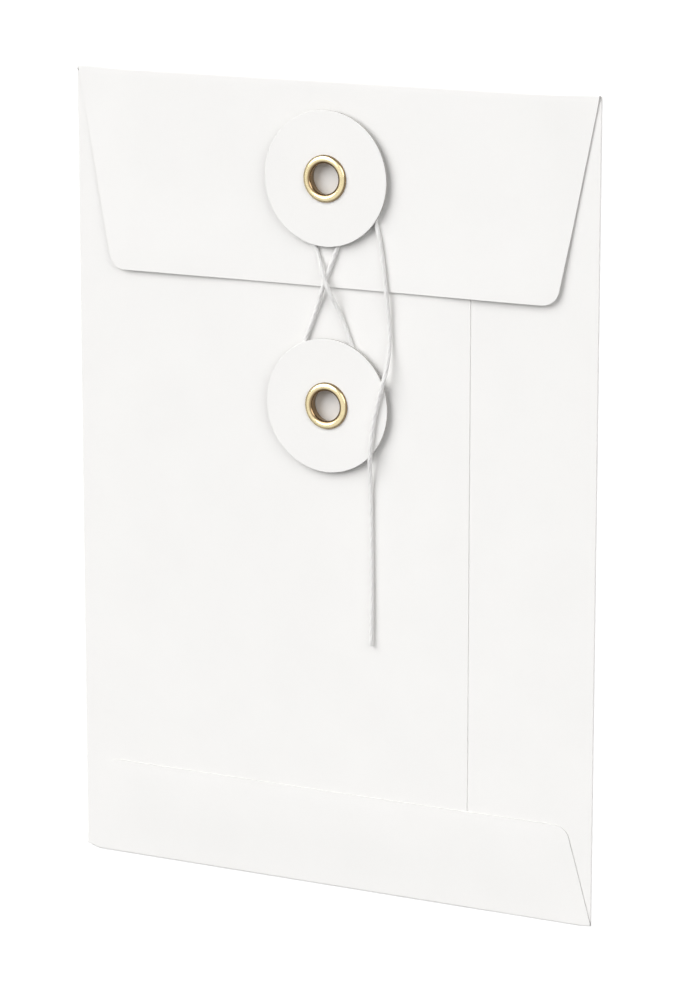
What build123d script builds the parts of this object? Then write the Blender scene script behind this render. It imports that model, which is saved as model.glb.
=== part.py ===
"""String tie envelope, size C6: a folded and gummed paper pocket whose closure flap is tied
down by one string, wound in a figure of eight under two card discs on brass eyelets.

Millimetres. The envelope lies on its plain front, string side up: X is the width, Y the
length with the closure flap's fold at +Y, and Z is up. The origin is under its middle."""

import os
from math import asin, cos, pi, radians, sin, tan

from build123d import *

# Envelope and paper
envelope_width = 114.0
envelope_length = 162.0
paper = 0.2
gum = 0.05
slack = 0.05
fold_leg = 0.3

# Back panels, seam and mouth
seam_from_right = 26.7
seam_overlap = 12.0
seam_gum_margin = 2.0
seam_gum_inset = 6.0
panel_foot_gap = 0.4
throat_depth = 4.0
pocket_slack = 0.15

# Bottom flap
bottom_flap_height = 19.7
bottom_flap_taper = 4.5
bottom_flap_corner = 3.0
bottom_fold_inset = 1.0
bottom_gum_width = 8.0
bottom_gum_margin = 1.5
bottom_gum_side = 9.0
joggle_run = 1.6

# Closure flap
flap_height = 40.3
flap_side_inset = 0.4
flap_taper = 8.0
flap_corner = 3.5

# Card discs and brass eyelets
disc_diameter = 26.5
disc_thickness = 0.5
disc_clearance = 0.06
disc_play = 0.05
upper_disc_from_fold = 19.0
disc_spacing = 44.65
barrel_diameter = 7.1
brass = 0.2
flange_roll = 0.65
clinch_roll = 0.3
flange_sides = 6
clinch_sides = 3
paper_hole_clearance = 0.05

# String
string_diameter = 0.8
string_sides = 8
string_lie = 0.05
string_crossing_gap = 0.55
disc_lift = 0.95
tie_gap = 0.15
tie_turns = 1.25
tie_radius = 6.9
return_radius = 7.5
tail_radius = 8.6
lower_loop_radius = 9.3
tail_lean = 12.3
crest_run = 2.4

# Heights of the paper layers
left_bottom = paper + clinch_roll + pocket_slack
left_top = left_bottom + paper
right_top = left_bottom - gum
right_bottom = right_top - paper
bottom_flap_high = left_top + gum + paper
bottom_flap_low = right_top + gum + paper
flap_bottom = left_top + clinch_roll + slack
flap_top = flap_bottom + paper

# Edges in plan
half_width = envelope_width / 2
half_length = envelope_length / 2
seam_x = half_width - seam_from_right
left_fold_depth = left_top / 2 + fold_leg
right_fold_depth = right_top / 2 + fold_leg
bottom_fold_depth = bottom_flap_high / 2 + fold_leg
hinge_radius = flap_top / 2
hinge_y = half_length - hinge_radius
bottom_fold_y = bottom_fold_depth - half_length
inner_left = left_fold_depth - half_width
inner_right = half_width - right_fold_depth
panel_foot_y = bottom_fold_y + panel_foot_gap
flap_edge_y = half_length - flap_height
bottom_flap_y = bottom_flap_height - half_length

# Disc centres and heights
upper_y = half_length - upper_disc_from_fold
lower_y = upper_y - disc_spacing
barrel_radius = barrel_diameter / 2
disc_radius = disc_diameter / 2
upper_disc_z = flap_top + disc_lift
lower_disc_z = left_top + disc_lift
lower_disc_top = lower_disc_z + disc_thickness

# String heights, at its centre
string_radius = string_diameter / 2
string_rest = string_lie + string_radius
on_flap = flap_top + string_rest
on_panel = left_top + string_rest
on_disc = lower_disc_top + string_rest
over_crossing = on_flap + string_diameter + string_crossing_gap

os.makedirs("parts", exist_ok=True)


def save(piece, label):
    """Label a finished piece and write it out."""
    piece.part.label = label
    export_step(piece.part, f"parts/{label}.step")


def fold_wall(height, depth):
    """Draw a folded sheet's section: a half round of the given height with a leg along each
    face, from the fold's outside at 0 to the depth."""
    outer = height / 2
    with BuildLine() as wall:
        lower = Line((depth, 0), (outer, 0))
        turn = ThreePointArc(lower @ 1, (0, outer), (outer, height))
        upper = Line(turn @ 1, (depth, height))
        end = Line(upper @ 1, (depth, height - paper))
        inside = Line(end @ 1, (outer, height - paper))
        back = ThreePointArc(inside @ 1, (paper, outer), (outer, paper))
        leg = Line(back @ 1, (depth, paper))
        Line(leg @ 1, lower @ 0)
    make_face(wall.edges())


# Front panel, the face that carries the address
with BuildPart() as front_panel:
    with BuildSketch():
        with Locations(((inner_left + inner_right) / 2, (bottom_fold_y + hinge_y) / 2)):
            Rectangle(inner_right - inner_left, hinge_y - bottom_fold_y)
    extrude(amount=paper)
save(front_panel, "front_panel")

# Side folds, from the bottom fold to the closure flap's fold
side_fold_length = hinge_y - bottom_fold_y
with BuildPart() as left_side_fold:
    with BuildSketch(Plane((-half_width, hinge_y, 0), x_dir=(1, 0, 0), z_dir=(0, -1, 0))):
        fold_wall(left_top, left_fold_depth)
    extrude(amount=side_fold_length)
save(left_side_fold, "left_side_fold")

with BuildPart() as right_side_fold:
    with BuildSketch(Plane((half_width, bottom_fold_y, 0), x_dir=(-1, 0, 0), z_dir=(0, 1, 0))):
        fold_wall(right_top, right_fold_depth)
    extrude(amount=side_fold_length)
save(right_side_fold, "right_side_fold")


def back_panel_outline(first_x, last_x):
    """Draw a back panel between two X places: straight foot, and its share of the throat,
    the shallow curve cut along the pocket's mouth."""
    throat_end_y = hinge_y - panel_foot_gap
    with BuildLine() as panel:
        throat = ThreePointArc(
            (-half_width, throat_end_y), (0, throat_end_y - throat_depth), (half_width, throat_end_y)
        )
        right = Line(throat @ 1, (half_width, panel_foot_y))
        foot = Line(right @ 1, (-half_width, panel_foot_y))
        Line(foot @ 1, throat @ 0)
    make_face(panel.edges())
    with Locations(((first_x + last_x) / 2, 0)):
        Rectangle(last_x - first_x, envelope_length, mode=Mode.INTERSECT)


# Left back panel, whose free edge is the seam and which carries the lower disc's eyelet
with BuildPart() as left_back_panel:
    with BuildSketch(Plane.XY.offset(left_bottom)):
        back_panel_outline(inner_left, seam_x)
        with Locations((0, lower_y)):
            Circle(barrel_radius + paper_hole_clearance, mode=Mode.SUBTRACT)
    extrude(amount=paper)
save(left_back_panel, "left_back_panel")

# Right back panel, which runs on under the left one
with BuildPart() as right_back_panel:
    with BuildSketch(Plane.XY.offset(right_bottom)):
        back_panel_outline(seam_x - seam_overlap, inner_right)
    extrude(amount=paper)
save(right_back_panel, "right_back_panel")

# Gum line between the overlapping panels
seam_gum_foot = panel_foot_y + seam_gum_inset
seam_gum_head = hinge_y - throat_depth - seam_gum_inset
with BuildPart() as seam_gum:
    with BuildSketch(Plane.XY.offset(right_top)):
        with Locations((seam_x - seam_overlap / 2, (seam_gum_foot + seam_gum_head) / 2)):
            Rectangle(seam_overlap - 2 * seam_gum_margin, seam_gum_head - seam_gum_foot)
    extrude(amount=gum)
save(seam_gum, "seam_gum")

# Bottom fold, whose height steps down past the left back panel's edge
bottom_fold_half = half_width - bottom_fold_inset
joggle_end = seam_x + joggle_run
bottom_fold_stations = (
    (-bottom_fold_half, bottom_flap_high),
    (seam_x + slack, bottom_flap_high),
    (joggle_end, bottom_flap_low),
    (bottom_fold_half, bottom_flap_low),
)
with BuildPart() as bottom_fold:
    for station_x, station_height in bottom_fold_stations:
        with BuildSketch(Plane((station_x, -half_length, 0), x_dir=(0, 1, 0), z_dir=(1, 0, 0))):
            fold_wall(station_height, bottom_fold_depth)
    loft(ruled=True)
save(bottom_fold, "bottom_fold")

# Bottom flap, a tapered sheet gummed over the panels, with the same step over the seam
with BuildPart() as bottom_flap:
    with BuildSketch(Plane((0, bottom_fold_y, 0), x_dir=(1, 0, 0), z_dir=(0, -1, 0))):
        with BuildLine():
            top_line = Polyline(*bottom_fold_stations)
            base_line = Polyline(*[(x, height - paper) for x, height in bottom_fold_stations])
            Line(top_line @ 0, base_line @ 0)
            Line(top_line @ 1, base_line @ 1)
        make_face()
    extrude(amount=-(bottom_flap_y - bottom_fold_y))
    with BuildSketch(Plane.XY):
        with BuildLine():
            Polyline(
                (-bottom_fold_half, bottom_fold_y),
                (bottom_fold_half, bottom_fold_y),
                (bottom_fold_half - bottom_flap_taper, bottom_flap_y),
                (bottom_flap_taper - bottom_fold_half, bottom_flap_y),
                close=True,
            )
        outline = make_face()
        fillet(outline.vertices().group_by(Axis.Y)[-1], bottom_flap_corner)
    extrude(amount=bottom_flap_high, mode=Mode.INTERSECT)
save(bottom_flap, "bottom_flap")

# Gum under the bottom flap, a stripe on the left panel and one on the right panel
bottom_gum_y = bottom_flap_y - bottom_gum_margin - bottom_gum_width / 2
bottom_gum_end = bottom_fold_half - bottom_gum_side
with BuildPart() as bottom_flap_gum:
    for first_x, last_x, base_z in (
        (-bottom_gum_end, seam_x, left_top),
        (joggle_end + slack, bottom_gum_end, right_top),
    ):
        with BuildSketch(Plane.XY.offset(base_z)):
            with Locations(((first_x + last_x) / 2, bottom_gum_y)):
                Rectangle(last_x - first_x, bottom_gum_width)
        extrude(amount=gum)
save(bottom_flap_gum, "bottom_flap_gum")

# Top fold, the closure flap's crease, round about the hinge axis
flap_half_width = half_width - flap_side_inset
with BuildPart() as top_fold:
    with BuildSketch(Plane((-flap_half_width, half_length, 0), x_dir=(0, -1, 0), z_dir=(-1, 0, 0))):
        with Locations((hinge_radius, hinge_radius)):
            Circle(hinge_radius)
            Circle(hinge_radius - paper, mode=Mode.SUBTRACT)
        with Locations((0, 0)):
            Rectangle(
                hinge_radius, flap_top, align=(Align.MIN, Align.MIN), mode=Mode.INTERSECT
            )
    extrude(amount=-2 * flap_half_width)
save(top_fold, "top_fold")

# Closure flap, tapered to its free edge
flap_edge_half = flap_half_width - flap_taper
with BuildPart() as closure_flap:
    with BuildSketch(Plane.XY.offset(flap_bottom)):
        with BuildLine():
            Polyline(
                (-flap_half_width, hinge_y),
                (flap_half_width, hinge_y),
                (flap_edge_half, flap_edge_y),
                (-flap_edge_half, flap_edge_y),
                close=True,
            )
        flap_outline = make_face()
        fillet(flap_outline.vertices().group_by(Axis.Y)[0], flap_corner)
        with Locations((0, upper_y)):
            Circle(barrel_radius + paper_hole_clearance, mode=Mode.SUBTRACT)
    extrude(amount=paper)
save(closure_flap, "closure_flap")


def card_disc(label, centre_y, base_z):
    """Make a card disc that turns on its eyelet's barrel."""
    with BuildPart() as disc:
        with BuildSketch(Plane((0, centre_y, base_z))):
            Circle(disc_radius)
            Circle(barrel_radius + disc_clearance, mode=Mode.SUBTRACT)
        extrude(amount=disc_thickness)
    save(disc, label)


def roll(middle, height, radius, sides, way):
    """Give the points of a half-round roll seen in section, from its inner end over its crown
    to its outer end. Way is 1 for a roll that stands up and -1 for one that hangs down."""
    angles = [pi - pi * step / sides for step in range(sides + 1)]
    return [(middle + radius * cos(angle), height + way * radius * sin(angle)) for angle in angles]


def set_eyelet(label, centre_y, sheet_bottom, disc_top):
    """Make an eyelet as it is once set: a barrel of thin brass, a half-round flange rolled
    over the disc, and a smaller roll clinched against the sheet's inner face."""
    bore = barrel_radius - brass
    rim_z = disc_top + disc_play
    flange = (bore + flange_roll, rim_z)
    clinch = (bore + clinch_roll, sheet_bottom)
    section = [
        *roll(*flange, flange_roll, flange_sides, 1),
        *reversed(roll(*flange, flange_roll - brass, flange_sides, 1)),
        *roll(*clinch, clinch_roll - brass, clinch_sides, -1),
        *reversed(roll(*clinch, clinch_roll, clinch_sides, -1)),
    ]
    with BuildPart() as eyelet:
        with BuildSketch(Plane((0, centre_y, 0), x_dir=(1, 0, 0), z_dir=(0, -1, 0))):
            with BuildLine() as wall:
                Polyline(*section, close=True)
            make_face(wall.edges())
        revolve(axis=Axis((0, centre_y, 0), (0, 0, 1)))
    save(eyelet, label)


card_disc("upper_disc", upper_y, upper_disc_z)
card_disc("lower_disc", lower_y, lower_disc_z)
set_eyelet("upper_eyelet", upper_y, flap_bottom, upper_disc_z + disc_thickness)
set_eyelet("lower_eyelet", lower_y, left_bottom, lower_disc_top)


def turn_stations(centre_y, first_radius, last_radius, first_angle, last_angle, height):
    """Give points and directions about every quarter turn along a flat loop round a barrel,
    whose radius grows evenly. Angles are in degrees from +X."""
    steps = max(1, round(abs(last_angle - first_angle) / 90))
    sweep_angle = radians(last_angle - first_angle)
    growth = (last_radius - first_radius) / sweep_angle
    stations = []
    for step in range(steps + 1):
        angle = radians(first_angle) + sweep_angle * step / steps
        radius = first_radius + (last_radius - first_radius) * step / steps
        outward = Vector(cos(angle), sin(angle))
        along = Vector(-sin(angle), cos(angle))
        heading = (outward * growth + along * radius).normalized()
        if sweep_angle < 0:
            heading = heading * -1
        stations.append((outward * radius + Vector(0, centre_y, height), heading))
    return stations


def strand_stations(first, last, places):
    """Give points on the straight strand between two loops, at each distance and height."""
    heading = Vector(last.X - first.X, last.Y - first.Y).normalized()
    return [
        (Vector(first.X, first.Y) + heading * distance + Vector(0, 0, height), heading)
        for distance, height in places
    ]


def smooth_path(stations):
    """Join stations by tangent lines and pairs of tangent arcs."""
    for (start, leaving), (end, arriving) in zip(stations, stations[1:]):
        chord = end - start
        if leaving.cross(chord).length < 1e-6 and arriving.cross(chord).length < 1e-6:
            Line(start, end)
            continue
        both = leaving + arriving
        bend = 2 * (1 - leaving.dot(arriving))
        if bend < 1e-9:
            reach = chord.dot(chord) / (2 * chord.dot(both))
        else:
            along = chord.dot(both)
            reach = ((along**2 + bend * chord.dot(chord)) ** 0.5 - along) / bend
        first_corner = start + leaving * reach
        second_corner = end - arriving * reach
        middle = (first_corner + second_corner) * 0.5
        TangentArc(start, middle, tangent=leaving)
        TangentArc(middle, end, tangent=second_corner - first_corner)


# String winding: tied round the upper barrel, crossed down to the lower disc, round it and
# crossed back, then over the upper loop and out as the tail
tie_start_radius = barrel_radius + string_radius + tie_gap
down_tilt = asin((tie_radius + lower_loop_radius) / disc_spacing) * 180 / pi
back_tilt = asin((return_radius + lower_loop_radius) / disc_spacing) * 180 / pi
tie = turn_stations(
    upper_y, tie_start_radius, tie_radius, 360 * tie_turns - down_tilt, -down_tilt, on_flap
)
lower_loop = turn_stations(
    lower_y, lower_loop_radius, lower_loop_radius, 180 - down_tilt, 360 + back_tilt, on_panel
)
return_loop = turn_stations(
    upper_y, return_radius, tail_radius, 180 + back_tilt, tail_lean, on_flap
)
down_start, down_end = tie[-1][0], lower_loop[0][0]
back_start, back_end = lower_loop[-1][0], return_loop[0][0]
down_length = disc_spacing * cos(radians(down_tilt))
back_length = disc_spacing * cos(radians(back_tilt))
past_flap_edge = (down_start.Y - flap_edge_y) / cos(radians(down_tilt)) + string_diameter
lower_rim = (disc_radius**2 - lower_loop_radius**2) ** 0.5 + string_diameter
upper_rim = (disc_radius**2 - return_radius**2) ** 0.5 + string_diameter
crossing = back_length * lower_loop_radius / (lower_loop_radius + return_radius)
down_strand = strand_stations(
    down_start,
    down_end,
    ((0, on_flap), (past_flap_edge, on_flap), (down_length - lower_rim, on_panel), (down_length, on_panel)),
)
back_strand = strand_stations(
    back_start,
    back_end,
    (
        (0, on_panel),
        (lower_rim, on_panel),
        (crossing - crest_run / 2, over_crossing),
        (crossing + crest_run / 2, over_crossing),
        (back_length - upper_rim, on_flap),
        (back_length, on_flap),
    ),
)
tie_end = (tie[0][0] - tie[0][1] * string_diameter, tie[0][1])
tail_start = (return_loop[-1][0] + return_loop[-1][1] * string_diameter, return_loop[-1][1])
winding_stations = [
    tie_end,
    *tie[:-1],
    *down_strand,
    *lower_loop[1:-1],
    *back_strand,
    *return_loop[1:],
    tail_start,
]
with BuildPart() as string_winding:
    with BuildLine() as winding_path:
        smooth_path(winding_stations)
    with BuildSketch(Plane(tie_end[0], z_dir=tie_end[1])) as string_section:
        RegularPolygon(string_radius, string_sides)
    sweep()
save(string_winding, "string_winding")

# String tail: down over the flap's edge and the lower disc's rim to its cut end, as
# distances across and along from the lower disc's centre, with a height at each
tail_first = tail_start[0]
tail_route = [
    tail_first,
    Vector(10.2, lower_y + 39.6, on_flap),
    Vector(11.9, lower_y + 33.2, on_flap),
    Vector(13.1, lower_y + 27.0, on_flap),
    Vector(13.7, lower_y + 21.2, on_flap + 0.2),
    Vector(14.1, lower_y + 14.8, on_disc - 1.0),
    Vector(13.5, lower_y + 9.0, on_disc + 0.1),
    Vector(12.0, lower_y + 4.0, on_disc + 0.2),
    Vector(10.5, lower_y - 1.0, on_disc + 0.1),
    Vector(9.8, lower_y - 6.2, on_disc + 0.25),
    Vector(9.5, lower_y - 11.2, on_disc),
    Vector(9.4, lower_y - 16.4, on_panel + 0.4),
    Vector(9.6, lower_y - 23.2, on_panel),
    Vector(9.7, lower_y - 31.0, on_panel),
    Vector(10.1, lower_y - 39.4, on_panel),
    Vector(10.1, lower_y - 47.3, on_panel),
]


def cord_radii(route):
    """Give the largest bend radius that each inner point of a route has room for."""
    radii = []
    for before, point, after in zip(route, route[1:], route[2:]):
        first, second = point - before, after - point
        half_turn = radians(first.get_angle(second)) / 2
        radii.append(0.45 * min(first.length, second.length) / tan(half_turn))
    return radii


tail_radii = cord_radii(tail_route)
with BuildPart() as string_tail:
    with BuildLine() as tail_path:
        FilletPolyline(*tail_route, radius=tail_radii)
    tail_heading = (tail_route[1] - tail_route[0]).normalized()
    with BuildSketch(Plane(tail_route[0], z_dir=tail_heading)):
        RegularPolygon(string_radius, string_sides)
    sweep()
save(string_tail, "string_tail")

# String measures: bend radii, volume against section times length, and gap to itself
winding_wire = winding_path.wires()[0]
tail_wire = tail_path.wires()[0]
print("tail radii", [round(radius, 1) for radius in tail_radii])
for wire, piece in ((winding_wire, string_winding), (tail_wire, string_tail)):
    tube_volume = string_section.sketch.area * wire.length
    print("length", round(wire.length, 1), "volume ratio", round(piece.part.volume / tube_volume, 4))
sample_step = string_radius
sample_count = int(winding_wire.length / sample_step)
samples = [winding_wire.position_at(index / sample_count) for index in range(sample_count + 1)]
least_gap = min(
    (samples[i] - samples[j]).length - string_diameter
    for i in range(len(samples))
    for j in range(i + 8, len(samples))
)
print("least gap of the winding to itself", round(least_gap, 2))
print("hinge axis y", round(hinge_y, 3), "z", round(hinge_radius, 3))
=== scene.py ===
"""Looks of a string tie envelope: its folded paper, card discs, brass eyelets and laid cotton
string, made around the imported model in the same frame, in metres. The envelope lies on its
plain front with the string side up, +Y towards the closure flap's fold."""

from math import asin, atan, cos, degrees, hypot, pi, radians, sin, sqrt

import bmesh
import bpy
from bpy.props import FloatProperty, FloatVectorProperty, IntProperty, PointerProperty
from mathutils import Matrix, Vector, noise


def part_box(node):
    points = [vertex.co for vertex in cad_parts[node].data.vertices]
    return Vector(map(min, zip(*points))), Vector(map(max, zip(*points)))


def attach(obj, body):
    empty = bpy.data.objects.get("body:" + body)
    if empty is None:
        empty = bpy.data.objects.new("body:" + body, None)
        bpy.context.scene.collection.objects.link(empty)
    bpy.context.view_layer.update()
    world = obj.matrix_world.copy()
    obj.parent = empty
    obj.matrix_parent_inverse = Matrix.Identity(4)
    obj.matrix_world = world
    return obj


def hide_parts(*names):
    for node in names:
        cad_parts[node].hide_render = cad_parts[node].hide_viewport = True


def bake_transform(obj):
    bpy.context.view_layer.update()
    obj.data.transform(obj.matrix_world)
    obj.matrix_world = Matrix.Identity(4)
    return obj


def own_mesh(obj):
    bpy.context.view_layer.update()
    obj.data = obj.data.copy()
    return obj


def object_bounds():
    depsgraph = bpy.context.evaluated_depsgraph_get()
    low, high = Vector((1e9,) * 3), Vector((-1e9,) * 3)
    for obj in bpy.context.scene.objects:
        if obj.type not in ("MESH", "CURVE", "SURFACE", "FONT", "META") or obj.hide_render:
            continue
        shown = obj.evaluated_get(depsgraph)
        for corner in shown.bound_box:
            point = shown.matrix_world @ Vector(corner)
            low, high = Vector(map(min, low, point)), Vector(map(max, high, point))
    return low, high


bl_info = {
    "name": "String tie envelope",
    "version": (1, 0, 0),
    "blender": (4, 5, 0),
    "location": "3D View > Sidebar > Envelope",
    "description": "Builds the paper, discs, eyelets and string of a string tie envelope",
    "category": "Add Mesh",
}

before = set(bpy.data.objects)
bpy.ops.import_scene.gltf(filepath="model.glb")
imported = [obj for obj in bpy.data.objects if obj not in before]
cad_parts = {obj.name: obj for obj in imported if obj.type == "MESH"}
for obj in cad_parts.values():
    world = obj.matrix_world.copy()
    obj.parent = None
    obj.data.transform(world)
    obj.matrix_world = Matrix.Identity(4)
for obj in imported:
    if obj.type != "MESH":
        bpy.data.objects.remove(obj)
CAD_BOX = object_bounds()

MM = 0.001

# Sheets of paper, from the frame
HALF_WIDTH = CAD_BOX[1].x
HALF_LENGTH = CAD_BOX[1].y
FRONT_LOW, FRONT_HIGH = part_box("front_panel")
LEFT_LOW, LEFT_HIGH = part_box("left_back_panel")
RIGHT_LOW, RIGHT_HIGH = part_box("right_back_panel")
FLAP_LOW, FLAP_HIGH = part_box("closure_flap")
BOTTOM_LOW, BOTTOM_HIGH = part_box("bottom_flap")
SEAM_X = LEFT_HIGH.x
HINGE_Y = FLAP_HIGH.y
THROAT_DEPTH = 4.0 * MM
THROAT_RADIUS = (HALF_WIDTH**2 + THROAT_DEPTH**2) / (2 * THROAT_DEPTH)
FLAP_TAPER = 8.0 * MM
FLAP_CORNER = 3.5 * MM
BOTTOM_HALF = HALF_WIDTH - 0.1 * MM
BOTTOM_TAPER = 5.4 * MM
BOTTOM_CORNER = 3.0 * MM

# Heights of the sheets' middles: apart in the envelope's middle, pressed together at its creases
SHEET = 0.75 * (FRONT_HIGH.z - FRONT_LOW.z)
HAIR_GAP = 0.005 * MM
LAYER = SHEET + 0.03 * MM
FRONT_MIDDLE = FRONT_LOW.z + SHEET / 2
RIGHT_MIDDLE = (RIGHT_LOW.z + RIGHT_HIGH.z) / 2
LEFT_MIDDLE = (LEFT_LOW.z + LEFT_HIGH.z) / 2
FLAP_MIDDLE = (FLAP_LOW.z + FLAP_HIGH.z) / 2
RIGHT_CREASE = FRONT_MIDDLE + LAYER
LEFT_CREASE = RIGHT_CREASE + LAYER
FLAP_RIGHT_CREASE = RIGHT_CREASE + LAYER + 0.1 * MM
FLAP_LEFT_CREASE = LEFT_CREASE + LAYER + 0.03 * MM

# Discs and eyelets, from the frame
UPPER_DISC_LOW, UPPER_DISC_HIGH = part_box("upper_disc")
LOWER_DISC_LOW, LOWER_DISC_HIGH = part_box("lower_disc")
DISC_RADIUS = UPPER_DISC_HIGH.x
UPPER_Y = (UPPER_DISC_LOW.y + UPPER_DISC_HIGH.y) / 2
LOWER_Y = (LOWER_DISC_LOW.y + LOWER_DISC_HIGH.y) / 2
DISC_SPACING = UPPER_Y - LOWER_Y
BARREL_RADIUS = 3.55 * MM
BORE_RADIUS = 3.35 * MM
LIP_RADIUS = 3.0 * MM
PAPER_HOLE_RADIUS = 3.6 * MM
DISC_HOLE_RADIUS = 3.61 * MM
FLANGE_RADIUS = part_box("upper_eyelet")[1].x


# Settings

def colour_setting(name, description, default):
    """Give a setting for a colour."""
    return FloatVectorProperty(
        name=name, description=description, subtype="COLOR", size=3, min=0, max=1, default=default)


def length_setting(name, description, default):
    """Give a setting for a length."""
    return FloatProperty(
        name=name, description=description, unit="LENGTH", precision=5, default=default)


def strength_setting(name, description, default):
    """Give a setting for the strength of a light."""
    return FloatProperty(name=name, description=description, min=0, default=default)


class PaperSettings(bpy.types.PropertyGroup):
    """Finish of the folded paper."""

    colour: colour_setting("Paper colour", "Colour of the white paper", (0.93, 0.921, 0.905))
    # Painted shade: this grey on the paper's cut edges stands for their shade
    core: colour_setting("Core colour", "Colour of the paper's cut edges", (0.65, 0.64, 0.62))
    ripple: length_setting(
        "Ripple", "Height of the gentle waves in the back panels", 0.09 * MM)
    ripple_length: length_setting(
        "Ripple length", "Distance between waves in the back panels", 34 * MM)
    edge_lift: length_setting(
        "Edge lift", "How far the closure flap's free edge stands off the panels", 0.4 * MM)


class DiscSettings(bpy.types.PropertyGroup):
    """Finish of the card discs."""

    colour: colour_setting("Card colour", "Colour of the white card", (0.925, 0.916, 0.9))
    # Painted shade: this grey on the card's cut edge and back darkens its rim and the shade under
    # the disc
    core: colour_setting("Core colour", "Colour of the card's cut edge and back", (0.5, 0.49, 0.47))
    edge_round: length_setting(
        "Edge rounding", "Rounding that the punch leaves on the discs' edges", 0.06 * MM)


class EyeletSettings(bpy.types.PropertyGroup):
    """Finish of the brass eyelets."""

    colour: colour_setting("Brass colour", "Colour of the polished brass", (0.87, 0.74, 0.45))
    # Painted shade: the dark brown on the bore and the flange's foot stands for their shade and
    # dark reflections
    bore_colour: colour_setting(
        "Bore colour", "Colour of the unpolished brass in the bore", (0.32, 0.22, 0.12))
    roughness: FloatProperty(
        name="Roughness", description="Dullness of the brass", subtype="FACTOR",
        min=0, max=1, default=0.2)


class StringSettings(bpy.types.PropertyGroup):
    """Make of the laid cotton string."""

    colour: colour_setting("String colour", "Colour of the cotton", (0.9, 0.893, 0.88))
    diameter: length_setting("Diameter", "Thickness of the string", 0.8 * MM)
    plies: IntProperty(
        name="Plies", description="Yarns laid together in the string", min=2, max=6, default=3)
    lay: length_setting("Lay", "Length of one full twist of the string", 6.6 * MM)


class StageSettings(bpy.types.PropertyGroup):
    """Floor, light and camera."""

    floor_colour: colour_setting("Floor colour", "Colour of the pale floor", (0.86, 0.86, 0.86))
    key_strength: strength_setting(
        "Key light", "Strength of the soft light from the upper left", 2.44)
    fill_strength: strength_setting("Fill light", "Strength of the soft light from the right", 0.84)
    sky_strength: strength_setting(
        "Surrounding light", "Strength of the light from all round", 0.29)
    lens: FloatProperty(
        name="Lens", description="Focal length of the camera, in millimetres", default=147.24)


class EnvelopeSettings(bpy.types.PropertyGroup):
    """All settings of the envelope."""

    paper: PointerProperty(type=PaperSettings)
    disc: PointerProperty(type=DiscSettings)
    eyelet: PointerProperty(type=EyeletSettings)
    string: PointerProperty(type=StringSettings)
    stage: PointerProperty(type=StageSettings)


# Numbers

def smooth_step(low, high, value):
    """Ease from 0 at low to 1 at high."""
    share = min(max((value - low) / (high - low), 0.0), 1.0)
    return share * share * (3 - 2 * share)


def mix(first, last, share):
    """Give the value at a share of the way from first to last."""
    return first + (last - first) * share


def between(first, last, steps):
    """Give evenly spaced values from first to last, both included."""
    return [first + (last - first) * step / steps for step in range(steps + 1)]


# Meshes

SOFT_ANGLE = 35


def closed(line):
    """Give a line of points that ends where it starts."""
    return line + line[:1]


def fill_grid(shape, lines):
    """Fill lines of as many points each with faces, from each line to the next."""
    for line, following in zip(lines, lines[1:]):
        for corners in zip(line, line[1:], following[1:], following):
            shape.faces.new(corners)


def add_object(name, mesh):
    """Put a mesh into the scene as a new object at the origin."""
    piece = bpy.data.objects.new(name, mesh)
    bpy.context.scene.collection.objects.link(piece)
    return piece


def add_shape(name, shape):
    """Put a finished shape into the scene as a new object at the origin."""
    mesh = bpy.data.meshes.new(name)
    shape.to_mesh(mesh)
    shape.free()
    return add_object(name, mesh)


def settle(piece):
    """Turn a piece with modifiers into the plain mesh that they make."""
    graph = bpy.context.evaluated_depsgraph_get()
    made = piece.evaluated_get(graph)
    mesh = bpy.data.meshes.new_from_object(made, preserve_all_data_layers=True, depsgraph=graph)
    piece.modifiers.clear()
    piece.data = mesh
    mesh.name = piece.name
    return piece


def soften(piece, sharp_angle=SOFT_ANGLE):
    """Shade a piece smoothly, apart from its corners."""
    piece.data.shade_smooth()
    piece.data.set_sharp_from_angle(angle=radians(sharp_angle))
    return piece


def mark_inside(piece, inside):
    """Keep for each point of a piece how much painted shade it takes, by its place."""
    shares = piece.data.attributes.new("inside", "FLOAT", "POINT")
    for share, vertex in zip(shares.data, piece.data.vertices):
        share.value = inside(vertex.co)


def hand_in(piece, body, slot, material, *nodes):
    """Give a finished piece its material, hide the model's parts that it replaces, and hang it on
    the body that it moves with.
    """
    piece.data.materials.clear()
    piece.data.materials.append(material)
    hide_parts(*nodes)
    if body:
        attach(piece, body)


# Node trees

class NodeTree:
    """A tree of nodes, with short ways to add and link them."""

    def __init__(self, tree):
        self.tree = tree

    def feed(self, socket, value):
        """Link an input to an output, or set it to a plain value."""
        if isinstance(value, bpy.types.NodeSocket):
            self.tree.links.new(value, socket)
        else:
            socket.default_value = value

    def node(self, kind, inputs=None, **options):
        """Add a node, with its options set and its inputs linked or set."""
        node = self.tree.nodes.new(kind)
        for option, value in options.items():
            setattr(node, option, value)
        for key, value in (inputs or {}).items():
            self.feed(node.inputs[key], value)
        return node

    def value(self, kind, inputs=None, output=0, **options):
        """Add a node and give one of its outputs."""
        return self.node(kind, inputs, **options).outputs[output]

    def math(self, operation, first, second):
        """Reckon with two values."""
        return self.value("ShaderNodeMath", {0: first, 1: second}, operation=operation)


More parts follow.
